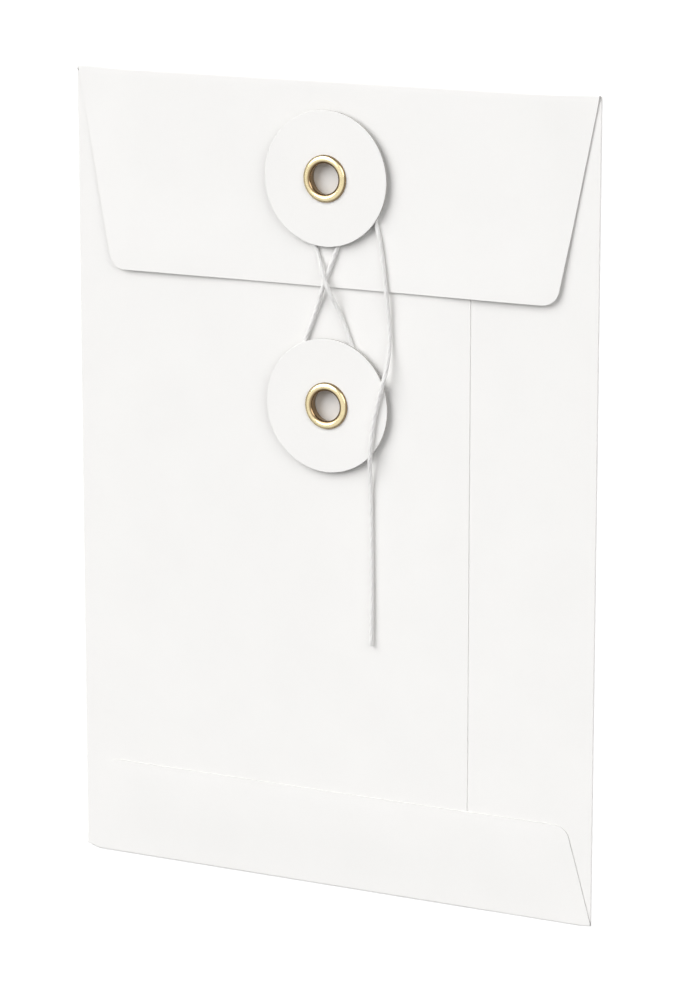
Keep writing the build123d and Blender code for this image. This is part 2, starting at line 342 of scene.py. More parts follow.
class Shader(NodeTree):
    """The nodes of a material or of the world, with short ways to those that its look needs."""

    def __init__(self, owner, surface="Principled BSDF", coordinates="Object"):
        owner.use_nodes = True
        super().__init__(owner.node_tree)
        self.owner = owner
        self.surface = self.tree.nodes[surface]
        self.coordinates = self.value("ShaderNodeTexCoord", output=coordinates)

    def look(self, inputs):
        """Link or set the surface's inputs, and give the material or world."""
        for name, value in inputs.items():
            self.feed(self.surface.inputs[name], value)
        return self.owner

    def placed(self, scale, turn=0, source=None):
        """Stretch the coordinates, and turn them about Z."""
        return self.value("ShaderNodeMapping", {
            "Vector": source or self.coordinates, "Scale": scale, "Rotation": (0, 0, turn)})

    def noise(self, scale, detail, source=None):
        """Add a noise whose grains are about one metre over the scale."""
        return self.value("ShaderNodeTexNoise", {
            "Vector": source or self.coordinates, "Scale": scale, "Detail": detail}, "Fac")

    def attribute(self, name, output="Fac"):
        """Read what the mesh keeps for each point or face."""
        return self.value("ShaderNodeAttribute", output=output, attribute_name=name)

    def weigh(self, first, first_share, last, last_share):
        """Add two values, each times its share."""
        first = self.math("MULTIPLY", first, first_share)
        return self.math("ADD", first, self.math("MULTIPLY", last, last_share))

    def spread(self, value, low, high):
        """Map a value from 0 to 1 onto low to high."""
        return self.value(
            "ShaderNodeMapRange", {"Value": value, "To Min": low, "To Max": high}, "Result")

    def ramp(self, value, *stops):
        """Turn a value into a colour by two stops of place and colour."""
        node = self.node("ShaderNodeValToRGB", {"Fac": value})
        for element, (place, colour) in zip(node.color_ramp.elements, stops):
            element.position = place
            element.color = (*colour, 1)
        return node.outputs["Color"]

    def blend(self, share, first, last):
        """Go from a linked colour to a plain one by a share."""
        node = self.node("ShaderNodeMix", {"Factor": share}, data_type="RGBA")
        start, end = (socket for socket in node.inputs if socket.type == "RGBA")
        self.feed(start, first)
        self.feed(end, (*last, 1))
        return next(socket for socket in node.outputs if socket.type == "RGBA")

    def bump(self, height, depth):
        """Give the surface a relief of the given depth."""
        return self.value("ShaderNodeBump", {"Height": height, "Distance": depth}, "Normal")


class GeometryTree(NodeTree):
    """A geometry node tree with named inputs."""

    def __init__(self, name):
        super().__init__(bpy.data.node_groups.new(name, "GeometryNodeTree"))
        self.group_input = self.node("NodeGroupInput")
        self.geometry = self.input("Geometry", "Geometry")
        self.tree.interface.new_socket(
            "Geometry", in_out="OUTPUT", socket_type="NodeSocketGeometry")

    def input(self, name, kind):
        """Add a named input and give its socket."""
        self.tree.interface.new_socket(name, in_out="INPUT", socket_type="NodeSocket" + kind)
        return self.group_input.outputs[name]

    def apply(self, piece, **values):
        """Run the tree on a piece with its inputs set by identifier, and keep the mesh."""
        modifier = piece.modifiers.new(self.tree.name, "NODES")
        modifier.node_group = self.tree
        for item in self.tree.interface.items_tree:
            if item.in_out == "INPUT" and item.name in values:
                modifier[item.identifier] = values[item.name]
        settle(piece)


# Finishes, whose noises have about as many grains to the metre as their scale

ROUGHNESS_SPREAD = 0.08
PAPER_GRAIN = 0.012 * MM
CARD_GRAIN = 0.015 * MM
SCUFF_DEPTH = 0.004 * MM
GUM_DEPTH = 0.01 * MM
YARN_DEPTH = 0.02 * MM


def shade(colour, factor):
    """Darken or lighten a colour by a factor."""
    return tuple(channel * factor for channel in colour)


def fibre_finish(name, colour, core, grain, roughness):
    """Make an uncoated paper finish: pale clouds of fibre, short fibres lying two ways and a fine
    tooth. Faces marked as inside take the painted shade colour, a grey that stands for shade on cut
    edges."""
    shader = Shader(bpy.data.materials.new(name))
    across = shader.noise(1, 2, shader.placed((900, 5200, 2500), 0.5))
    along = shader.noise(1, 2, shader.placed((5200, 900, 2500), 0.3))
    fibres = shader.weigh(across, 0.5, along, 0.5)
    tone = shader.weigh(shader.noise(70, 3), 0.6, fibres, 0.4)
    face = shader.ramp(tone, (0.3, shade(colour, 0.985)), (0.7, shade(colour, 1.012)))
    relief = shader.weigh(shader.noise(5200, 3), 0.5, fibres, 1)
    return shader.look({
        "Base Color": shader.blend(shader.attribute("inside"), face, core),
        "Roughness": shader.spread(
            fibres, roughness - ROUGHNESS_SPREAD, roughness + ROUGHNESS_SPREAD),
        "Normal": shader.bump(relief, grain),
        "Specular IOR Level": 0.25,
    })


def paper_finish(settings):
    """Make the envelope's paper."""
    paper = settings.paper
    return fibre_finish("paper_finish", paper.colour, paper.core, PAPER_GRAIN, 0.8)


def card_finish(settings):
    """Make the discs' card."""
    disc = settings.disc
    return fibre_finish("card_finish", disc.colour, disc.core, CARD_GRAIN, 0.75)


def brass_finish(settings):
    """Make a polished brass that the setting tool has lightly scuffed."""
    eyelet = settings.eyelet
    shader = Shader(bpy.data.materials.new("brass_finish"))
    scuffs = shader.noise(1, 3, shader.placed((700, 700, 5000)))
    polished = shader.ramp(
        shader.noise(900, 2),
        (0.25, shade(eyelet.colour, 0.9)), (0.75, shade(eyelet.colour, 1.06)))
    return shader.look({
        # The bore and the flange's foot are painted dark brown, a painted shade and painted
        # reflection
        "Base Color": shader.blend(shader.attribute("inside"), polished, eyelet.bore_colour),
        "Roughness": shader.spread(
            scuffs, eyelet.roughness - ROUGHNESS_SPREAD, eyelet.roughness + ROUGHNESS_SPREAD),
        "Normal": shader.bump(scuffs, SCUFF_DEPTH),
        "Metallic": 1.0,
    })


def gum_finish():
    """Make a dried gum, pale and a little glossy."""
    shader = Shader(bpy.data.materials.new("gum_finish"))
    patches = shader.noise(260, 3)
    return shader.look({
        "Base Color": shader.ramp(patches, (0.3, (0.78, 0.74, 0.62)), (0.7, (0.86, 0.83, 0.74))),
        "Roughness": shader.spread(patches, 0.25, 0.5),
        "Normal": shader.bump(patches, GUM_DEPTH),
    })


def cotton_finish(settings):
    """Make a cotton yarn whose fibres run along each ply."""
    colour = settings.string.colour
    shader = Shader(bpy.data.materials.new("cotton_finish"))
    yarn = shader.attribute("yarn", "Vector")
    fibres = shader.noise(1, 3, shader.placed((9000, 9000, 700), source=yarn))
    slubs = shader.noise(1, 1, shader.placed((300, 300, 120), source=yarn))
    tone = shader.weigh(fibres, 0.7, slubs, 0.3)
    return shader.look({
        "Base Color": shader.ramp(tone, (0.3, shade(colour, 0.94)), (0.7, shade(colour, 1.03))),
        "Roughness": 0.9,
        "Normal": shader.bump(fibres, YARN_DEPTH),
        "Specular IOR Level": 0.2,
    })


def finish(make, *inputs):
    """Give the finish that a function makes, made once and named after it."""
    return bpy.data.materials.get(make.__name__) or make(*inputs)


# Paper

STRING_ZONE = ((-15 * MM, -34 * MM), (17 * MM, 82 * MM))
STRING_REACH = 10 * MM
CREASE_REACH = 13 * MM
SEAM_REACH = 8 * MM
EDGE_REACH = 20 * MM
RIPPLE_STRETCH = 0.6
FOLD_STEPS = 12
COLUMN = 2.6 * MM
ROW_COUNT = 64
HOLE_SEGMENTS = 64

# Shares of a side fold's turn between which its ends go over to the back panels' edges, and how
# far the fold's foot dips into the corner
BACK_TURN = (0.2, 0.9)
SIDE_FOLD_DIP = 0.35 * MM

# Bottom flap: its step beside the seam, its pressed rim and its cut corners' depths and reaches
STEP_START = SEAM_X + 0.3 * MM
STEP_END = SEAM_X + 7 * MM
PRESSED_RIM = 2.5 * MM
BOTTOM_SPRING = 0.06 * MM
LEFT_CUT, LEFT_CUT_REACH = 0.8 * MM, 2.4 * MM
RIGHT_CUT, RIGHT_CUT_REACH = 0.2 * MM, 1.2 * MM

# Closure flap's lift: where down the flap it starts, how it grows to the left and shrinks to the
# right, what the string leaves of it, and the way that the fold's bend runs
LIFT_START = 0.55
LIFT_START_LEFT = 0.05
LIFT_MORE_LEFT = 0.8
LIFT_LESS_RIGHT = 0.4
LIFT_AT_STRING = 0.15


def off_the_string(x, y, reach):
    """Ease from 0 where the string and discs hold the paper down to 1 at a reach from them."""
    (west, south), (east, north) = STRING_ZONE
    gap = hypot(max(west - x, x - east, 0), max(south - y, y - north, 0))
    return smooth_step(0, reach, gap)


def side_fullness(x):
    """Ease from 0 at the side creases to 1 in the middle of the envelope."""
    return smooth_step(0, CREASE_REACH, HALF_WIDTH - abs(x))


def fullness(x, y):
    """Ease from 0 at the side and bottom creases to 1 where the pocket's sheets lie apart."""
    return side_fullness(x) * smooth_step(0, CREASE_REACH, HALF_LENGTH + y)


def ripple(x, y):
    """Give the gentle wave that all back sheets share, still at the creases and the string."""
    paper = bpy.context.scene.envelope.paper
    wave = noise.noise(Vector((x, RIPPLE_STRETCH * y, 0)) / paper.ripple_length)
    at_top = smooth_step(0, CREASE_REACH, HALF_LENGTH - y)
    return paper.ripple * wave * fullness(x, y) * at_top * off_the_string(x, y, STRING_REACH)


def right_height(x, y):
    """Give the right panel's middle, which is also the left panel's hidden support."""
    return mix(RIGHT_CREASE, RIGHT_MIDDLE, fullness(x, y)) + ripple(x, y)


def left_height(x, y):
    """Give the left panel's middle, pressed down onto the right panel along the seam."""
    loose = mix(LEFT_CREASE, LEFT_MIDDLE, fullness(x, y)) + ripple(x, y)
    pressed = right_height(x, y) + SHEET + HAIR_GAP
    return mix(pressed, loose, smooth_step(0, SEAM_REACH, SEAM_X - x))


def bottom_height(x, y):
    """Give the bottom flap's middle: it lies on the back panels, steps down past the seam and
    is pressed flat along its free edges."""
    step = smooth_step(STEP_START, STEP_END, x)
    up = (y - BOTTOM_LOW.y) / (BOTTOM_HIGH.y - BOTTOM_LOW.y)
    side_gap = BOTTOM_HALF - BOTTOM_TAPER * up - abs(x)
    inside = smooth_step(0, PRESSED_RIM, min(BOTTOM_HIGH.y - y, side_gap))
    return mix(left_height(x, y), right_height(x, y), step) + LAYER + BOTTOM_SPRING * inside


def flap_height(x, y):
    """Give the closure flap's middle: it is creased at its sides and springs up along its free
    edge, less where the string crosses it."""
    crease = mix(FLAP_LEFT_CREASE, FLAP_RIGHT_CREASE, (x + HALF_WIDTH) / (2 * HALF_WIDTH))
    flat = mix(crease, FLAP_MIDDLE, side_fullness(x)) + max(ripple(x, y), 0)
    down = (HINGE_Y - y) / (HINGE_Y - FLAP_LOW.y)
    at_left = 1 - smooth_step(0, EDGE_REACH, HALF_WIDTH + x)
    at_right = 1 - smooth_step(0, EDGE_REACH, HALF_WIDTH - x)
    lift = smooth_step(mix(LIFT_START, LIFT_START_LEFT, at_left), 1.0, down)
    lift *= 1 + LIFT_MORE_LEFT * at_left - LIFT_LESS_RIGHT * at_right
    lift *= mix(LIFT_AT_STRING, 1, off_the_string(x, y, EDGE_REACH))
    return flat + bpy.context.scene.envelope.paper.edge_lift * lift


def half_round(outer, side, low, high, steps):
    """Give the middle line of a folded sheet that bulges out to a line on one side, from its
    lower height round to its upper one, as places across the fold and heights."""
    radius = (high - low) / 2
    middle = outer - side * (radius + SHEET / 2)
    turns = between(-pi / 2, pi / 2, steps)
    return [(middle + side * radius * cos(turn), low + radius * (1 + sin(turn))) for turn in turns]


def sheet_from_rows(name, *patches):
    """Join grids of points into one sheet of paper of full thickness, whose cut edges are marked
    for painted shade. A grid is a list of rows, and grids that share points are joined there."""
    shape = bmesh.new()
    for rows in patches:
        fill_grid(shape, [[shape.verts.new(point) for point in row] for row in rows])
    bmesh.ops.remove_doubles(shape, verts=shape.verts, dist=HAIR_GAP)
    bmesh.ops.recalc_face_normals(shape, faces=shape.faces)
    sheet = add_shape(name, shape)
    two_sides = 2 * len(sheet.data.polygons)
    wall = sheet.modifiers.new("Paper thickness", "SOLIDIFY")
    wall.thickness = SHEET
    wall.offset = 0
    wall.use_even_offset = True
    wall.use_quality_normals = True
    settle(sheet)
    # Painted shade: the cut edges are marked to take the grey painted shade colour
    shares = sheet.data.attributes.new("inside", "FLOAT", "FACE")
    for share, face in zip(shares.data, sheet.data.polygons):
        share.value = 1.0 if face.index >= two_sides else 0.0
    return sheet


def punch(sheet, centre_y, low, high):
    """Punch an eyelet's hole through a sheet between two heights."""
    shape = bmesh.new()
    bmesh.ops.create_cone(
        shape, cap_ends=True, segments=HOLE_SEGMENTS, radius1=PAPER_HOLE_RADIUS,
        radius2=PAPER_HOLE_RADIUS, depth=high - low,
        matrix=Matrix.Translation((0, centre_y, (low + high) / 2)))
    tool = add_shape("punch", shape)
    hole = sheet.modifiers.new("Hole", "BOOLEAN")
    hole.operation = "DIFFERENCE"
    hole.solver = "EXACT"
    hole.object = tool
    settle(sheet)
    # The tool goes with its mesh
    bpy.data.meshes.remove(tool.data)


def corner_rows(top_y, top_half, edge_y, edge_half, radius, rows, corner_steps):
    """Give the rows of a tapered flap with rounded corners, as pairs of Y and half width, from
    its fold to its free edge. It works for a flap that points up or down."""
    down = 1 if top_y > edge_y else -1
    slope = (top_half - edge_half) / abs(top_y - edge_y)
    lean = atan(slope)
    centre_y = edge_y + down * radius
    centre_x = edge_half + slope * radius - radius / cos(lean)
    arc = [
        (centre_y - down * radius * sin(turn), centre_x + radius * cos(turn))
        for turn in between(lean, pi / 2, corner_steps)
    ]
    straight = [
        (y, mix(top_half, edge_half, (top_y - y) / (top_y - edge_y)))
        for y in between(top_y, arc[0][0], rows)
    ]
    return straight + arc[1:]


def throat_y(x):
    """Give the back panels' upper edge, a shallow curve cut along the pocket's mouth."""
    return LEFT_HIGH.y - THROAT_DEPTH + THROAT_RADIUS - sqrt(THROAT_RADIUS**2 - x * x)


def top_fold(x):
    """Give the closure flap's fold at one place across the envelope."""
    return half_round(HALF_LENGTH, 1, FRONT_MIDDLE, flap_height(x, HALF_LENGTH), 2 * FOLD_STEPS)


def bottom_fold(x):
    """Give the bottom fold at one place across the envelope. Its corners are cut back."""
    left_cut = LEFT_CUT * (1 - smooth_step(0, LEFT_CUT_REACH, x + HALF_WIDTH))
    right_cut = RIGHT_CUT * (1 - smooth_step(0, RIGHT_CUT_REACH, HALF_WIDTH - x))
    outer = left_cut + right_cut - HALF_LENGTH
    return half_round(outer, -1, FRONT_MIDDLE, bottom_height(x, -HALF_LENGTH), FOLD_STEPS)


def columns(first, last):
    """Give places across or along a sheet, about a column apart."""
    return between(first, last, max(4, round(abs(last - first) / COLUMN)))


def pocket_section():
    """Give the pocket's section from the seam round to the hidden edge of the right panel, as
    X, how far the sheet has turned onto the back, and its height or the panel that gives it."""
    left_fold = half_round(-HALF_WIDTH, -1, FRONT_MIDDLE, LEFT_CREASE, FOLD_STEPS)
    right_fold = half_round(HALF_WIDTH, 1, FRONT_MIDDLE, RIGHT_CREASE, FOLD_STEPS)
    turns = between(0, 1, FOLD_STEPS)
    front = between(left_fold[0][0], right_fold[0][0], round(2 * HALF_WIDTH / COLUMN))
    section = [(x, 1.0, left_height) for x in columns(SEAM_X, FRONT_LOW.x)]
    section += [(x, turn, z) for turn, (x, z) in zip(reversed(turns), reversed(left_fold))]
    section += [(x, 0.0, FRONT_MIDDLE) for x in front]
    section += [(x, turn, z) for turn, (x, z) in zip(turns, right_fold)]
    section += [(x, 1.0, right_height) for x in columns(FRONT_HIGH.x, RIGHT_LOW.x)]
    return section, front


def pocket_rows(section):
    """Give the rows of the pocket's tube from its foot to its mouth. The side folds reach a
    little further down, into the corners."""
    rows = []
    for share in between(0, 1, ROW_COUNT):
        row = []
        for x, turned, height in section:
            on_back = smooth_step(*BACK_TURN, turned)
            foot = mix(bottom_fold(x)[0][0], LEFT_LOW.y, on_back)
            foot -= SIDE_FOLD_DIP * sin(pi * turned)
            y = mix(foot, mix(top_fold(x)[0][0], throat_y(x), on_back), share)
            row.append(Vector((x, y, height(x, y) if callable(height) else height)))
        rows.append(row)
    return rows


def bottom_rows(front):
    """Give the rows of the bottom fold and flap, from the front panel's foot to the flap's
    free edge, on the front panel's own columns."""
    flare = between(1.0, BOTTOM_HALF / front[-1], FOLD_STEPS)
    folds = [
        [Vector((x * wider, y, z)) for wider, (y, z) in zip(flare, bottom_fold(x))] for x in front]
    rows = [list(line) for line in zip(*folds)]
    flap = corner_rows(
        BOTTOM_LOW.y, BOTTOM_HALF, BOTTOM_HIGH.y, BOTTOM_HALF - BOTTOM_TAPER, BOTTOM_CORNER,
        rows=10, corner_steps=7)
    for y, half in flap:
        line = between(-half, half, len(front) - 1)
        rows.append([Vector((x, y, bottom_height(x, y))) for x in line])
    return rows


class ENVELOPE_OT_pocket(bpy.types.Operator):
    """Fold the pocket: front panel, side folds, back panels and the gummed bottom flap"""

    bl_idname = "envelope.pocket"
    bl_label = "Pocket"

    def execute(self, context):
        section, front = pocket_section()
        pocket = sheet_from_rows("pocket_paper", pocket_rows(section), bottom_rows(front))
        # The seam's pressed edge takes no painted shade and is as pale as the paper's faces
        for share, face in zip(pocket.data.attributes["inside"].data, pocket.data.polygons):
            if abs(face.center.x - SEAM_X) < SHEET:
                share.value = 0
        punch(pocket, LOWER_Y, FRONT_HIGH.z + SHEET, FLAP_HIGH.z)
        soften(pocket)
        hand_in(
            pocket, "pocket", "white_paper", finish(paper_finish, context.scene.envelope),
            "front_panel", "left_side_fold", "right_side_fold", "left_back_panel",
            "right_back_panel", "bottom_fold", "bottom_flap")
        return {"FINISHED"}


class ENVELOPE_OT_closure_flap(bpy.types.Operator):
    """Fold the closure flap over the pocket's mouth"""

    bl_idname = "envelope.closure_flap"
    bl_label = "Closure flap"

    def execute(self, context):
        half = FLAP_HIGH.x
        shares = between(-1, 1, round(2 * half / COLUMN))
        folds = [
            [Vector((share * half, y, z)) for y, z in top_fold(share * half)] for share in shares]
        rows = [list(line) for line in zip(*folds)]
        outline = corner_rows(
            HINGE_Y, half, FLAP_LOW.y, half - FLAP_TAPER, FLAP_CORNER, rows=18, corner_steps=8)
        for y, half_here in outline[1:]:
            line = [share * half_here for share in shares]
            rows.append([Vector((x, y, flap_height(x, y))) for x in line])
        flap = sheet_from_rows("closure_flap_paper", rows)
        punch(flap, UPPER_Y, FLAP_LOW.z - SHEET, FLAP_HIGH.z + SHEET)
        soften(flap)
        hand_in(
            flap, None, "white_paper", finish(paper_finish, context.scene.envelope),
            "closure_flap", "top_fold")
        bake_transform(flap)
        return {"FINISHED"}


class ENVELOPE_OT_gum(bpy.types.Operator):
    """Lay the gum under the seam and under the bottom flap"""

    bl_idname = "envelope.gum"
    bl_label = "Gum"

    def execute(self, context):
        seam_low, seam_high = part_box("seam_gum")
        foot_low, foot_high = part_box("bottom_flap_gum")
        seam_y, foot_y = (seam_low.y, seam_high.y), (foot_low.y, foot_high.y)
        stripes = {
            "seam_gum": [(seam_low.x, seam_high.x, *seam_y, right_height, left_height)],
            "bottom_flap_gum": [
                (foot_low.x, SEAM_X, *foot_y, left_height, bottom_height),
                (STEP_END, foot_high.x, *foot_y, right_height, bottom_height),
            ],
        }
        for node, places in stripes.items():
            shape = bmesh.new()
            for place in places:
                self.stripe(shape, *place)
            bmesh.ops.recalc_face_normals(shape, faces=shape.faces)
            film = soften(add_shape(node + "_film", shape))
            hand_in(film, "pocket", "gum", finish(gum_finish), node)
        return {"FINISHED"}

    @staticmethod
    def stripe(shape, first_x, last_x, first_y, last_y, under, over):
        """Add a thin film of gum that fills the gap between two sheets."""
        across, along = columns(first_x, last_x), columns(first_y, last_y)
        inset = SHEET / 2 + HAIR_GAP
        rims = []
        for sheet, side in ((under, 1), (over, -1)):
            points = [
                [shape.verts.new((x, y, sheet(x, y) + side * inset)) for x in across]
                for y in along
            ]
            fill_grid(shape, points)
            rim = points[0] + [line[-1] for line in points[1:]]
            rim += points[-1][-2::-1] + [line[0] for line in points[-2:0:-1]]
            rims.append(closed(rim))
        fill_grid(shape, rims)


# Turned pieces

DISC_SEGMENTS = 160
EYELET_SEGMENTS = 128
ROLL_STEPS = 16
CLINCH_ROLL = 0.3 * MM
EYELET_SOFT_ANGLE = 60

# Dent that the eyelet presses into its disc
DENT_DEPTH = 0.03 * MM
DENT_RIM = FLANGE_RADIUS + 0.8 * MM
DENT_START = FLANGE_RADIUS + 0.6 * MM
DENT_END = FLANGE_RADIUS - 0.2 * MM

# Radii over which the painted shade in the bore fades out, and over which it comes in again at the
# flange's foot
BORE_SHADE_RADII = (LIP_RADIUS + 0.35 * MM, LIP_RADIUS + 0.65 * MM)
FOOT_SHADE_RADII = (FLANGE_RADIUS - 0.3 * MM, FLANGE_RADIUS - 0.08 * MM)


def turned(name, section, centre_y, segments):
    """Spin a closed section of radius and height about an upright axis."""
    shape = bmesh.new()
    angles = between(0, 2 * pi, segments)[:-1]
    rings = [
        closed([
            shape.verts.new((radius * cos(angle), centre_y + radius * sin(angle), height))
            for angle in angles
        ])
        for radius, height in section
    ]
    fill_grid(shape, closed(rings))
    bmesh.ops.recalc_face_normals(shape, faces=shape.faces)
    return add_shape(name, shape)


class ENVELOPE_OT_discs(bpy.types.Operator):
    """Punch the two card discs that the string is wound under"""

    bl_idname = "envelope.discs"
    bl_label = "Card discs"

    def execute(self, context):
        settings = context.scene.envelope
        edge_round = settings.disc.edge_round
        flat_radius = DISC_RADIUS - 2 * edge_round
        for node, body, low, high, centre_y in (
            ("upper_disc", "upper_button", UPPER_DISC_LOW.z, UPPER_DISC_HIGH.z, UPPER_Y),
            ("lower_disc", "lower_button", LOWER_DISC_LOW.z, LOWER_DISC_HIGH.z, LOWER_Y),
        ):
            section = [
                (DISC_HOLE_RADIUS, low),
                (flat_radius, low),
                (DISC_RADIUS, low),
                (DISC_RADIUS, high),
                (flat_radius, high),
                (DENT_RIM, high),
                (DENT_START, high),
                (DENT_END, high - DENT_DEPTH),
                (DISC_HOLE_RADIUS, high - DENT_DEPTH),
            ]
            disc = turned(node + "_card", section, centre_y, DISC_SEGMENTS)
            edge = disc.modifiers.new("Punched edge", "BEVEL")
            edge.width = edge_round
            edge.segments = 3
            edge.limit_method = "ANGLE"
            soften(settle(disc))
            # Painted shade: all but the disc's top face takes the grey painted shade colour
            face = high - 0.75 * edge_round
            mark_inside(disc, lambda place: 1.0 if place.z < face else 0.0)
            hand_in(disc, body, "white_card", finish(card_finish, settings), node)
        return {"FINISHED"}


def eyelet_section(low, high):
    """Give a set eyelet's section: a thin barrel, a domed flange above that rolls in to a lip,
    and a smaller roll clinched below."""
    brass = BARREL_RADIUS - BORE_RADIUS
    crown = (FLANGE_RADIUS - BORE_RADIUS) / 2
    rim = high - crown
    clinch = low + CLINCH_ROLL
    clinch_end = BORE_RADIUS + 2 * CLINCH_ROLL

    def roll(inner, outer, foot, rise):
        middle, half = (inner + outer) / 2, (outer - inner) / 2
        turns = between(pi, 0, ROLL_STEPS)
        return [(middle + half * cos(turn), foot + rise * sin(turn)) for turn in turns]

    return [
        *roll(LIP_RADIUS, FLANGE_RADIUS, rim, crown),
        *reversed(roll(BARREL_RADIUS, FLANGE_RADIUS - brass, rim, crown - brass)),
        *roll(BARREL_RADIUS, clinch_end - brass, clinch, brass - CLINCH_ROLL),
        *reversed(roll(BORE_RADIUS, clinch_end, clinch, -CLINCH_ROLL)),
    ]


class ENVELOPE_OT_eyelets(bpy.types.Operator):
    """Set the two brass eyelets through the discs and the paper"""

    bl_idname = "envelope.eyelets"
    bl_label = "Eyelets"

    def execute(self, context):
        material = finish(brass_finish, context.scene.envelope)
        for node, body, centre_y in (
            ("upper_eyelet", "flap", UPPER_Y),
            ("lower_eyelet", "pocket", LOWER_Y),
        ):
            low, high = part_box(node)
            section = eyelet_section(low.z, high.z)
            eyelet = turned(node + "_brass", section, centre_y, EYELET_SEGMENTS)
            soften(eyelet, EYELET_SOFT_ANGLE)
            self.age(eyelet, centre_y)
            hand_in(eyelet, body, "eyelet_brass", material, node)
        return {"FINISHED"}

    @staticmethod
    def age(eyelet, centre_y):
        """Mark the bore and the flange's foot for painted shade: a dark brown there stands for
        their shade and dark reflections.
        """
        def inside(place):
            radius = hypot(place.x, place.y - centre_y)
            return max(1 - smooth_step(*BORE_SHADE_RADII, radius), smooth_step(*FOOT_SHADE_RADII, radius))
        mark_inside(eyelet, inside)


# String

PLY_SHARE = 0.45
LAY_SHARE = 0.11
PLY_SIDES = 10
STRING_STEP = 0.22 * MM
STRING_SOFT_ANGLE = 70
CURVE_STEPS = 12

# Heights of the string's centre
STRING_REST = 0.46 * MM
ON_FLAP = FLAP_MIDDLE + SHEET / 2 + STRING_REST
ON_PANEL = LEFT_MIDDLE + SHEET / 2 + STRING_REST
ON_DISC = LOWER_DISC_HIGH.z + STRING_REST
UNDER_UPPER = ON_FLAP + 0.04 * MM
UNDER_LOWER = ON_PANEL + 0.03 * MM
AT_LOWER_RIM = ON_PANEL + 0.05 * MM
OVER_EDGE = ON_FLAP + 0.18 * MM
BELOW_EDGE = ON_PANEL + 0.1 * MM
BEFORE_CROSSING = ON_PANEL + 0.2 * MM
OVER_CROSSING = ON_FLAP + 1.04 * MM

# Loops round the barrels, and the run of a strand over what it crosses
TIE_START_RADIUS = 4.1 * MM
TIE_RADIUS = 6.9 * MM
TIE_TURNS = 1.25
RETURN_RADIUS = 7.5 * MM
TAIL_RADIUS = 8.6 * MM
TAIL_LEAN = 12.3
LOWER_LOOP_RADIUS = 9.3 * MM
LOOP_STEP = 20
CREST_RUN = 2.4 * MM
BEFORE_CREST = 2.5 * CREST_RUN
AFTER_CREST = 0.7 * CREST_RUN
BEFORE_RIM = 1.6 * MM
AFTER_RIM = 0.6 * MM
UNDER_SHARE = 0.3

# Tail: X and Y from the lower disc's centre in millimetres, the level that it lies on, and its
# rise above that level in millimetres
TAIL = (
    (9.8, 39.6, ON_FLAP, 0.05),
    (11.5, 33.2, ON_FLAP, 0.05),
    (12.4, 27.0, ON_FLAP, 0.15),
    (13.0, 22.0, ON_FLAP, 0.1),
    (13.3, 18.2, ON_PANEL, 0.25),
    (13.5, 13.4, ON_PANEL, 0.3),
    (13.4, 9.0, ON_DISC, -0.3),
    (12.9, 6.4, ON_DISC, 0.15),
    (12.2, 4.0, ON_DISC, 0.2),
    (10.8, -1.0, ON_DISC, 0.1),
    (10.1, -6.2, ON_DISC, 0.2),
    (9.8, -9.6, ON_DISC, 0.12),
    (9.5, -12.0, ON_DISC, -0.75),
    (9.3, -15.5, ON_PANEL, 0.12),
    (9.4, -23.2, ON_PANEL, 0.08),
    (9.5, -31.0, ON_PANEL, 0.05),
    (9.6, -39.4, ON_PANEL, 0.08),
    (9.5, -47.3, ON_PANEL, 0.25),
)


def loop_points(centre_y, first_radius, last_radius, first_angle, last_angle, height):
    """Give points along a flat loop whose radius grows evenly, at least 16 to a turn. Angles
    are in degrees from +X."""
    steps = max(2, round(abs(last_angle - first_angle) / LOOP_STEP))
    angles = between(radians(first_angle), radians(last_angle), steps)
    radii = between(first_radius, last_radius, steps)
    return [
        Vector((radius * cos(angle), centre_y + radius * sin(angle), height))
        for angle, radius in zip(angles, radii)
    ]


def strand_points(first, last, places):
    """Give points on the straight strand between two loops, at each distance and height."""
    start = Vector((first.x, first.y, 0))
    heading = Vector((last.x - first.x, last.y - first.y, 0)).normalized()
    return [start + heading * along + Vector((0, 0, z)) for along, z in places]


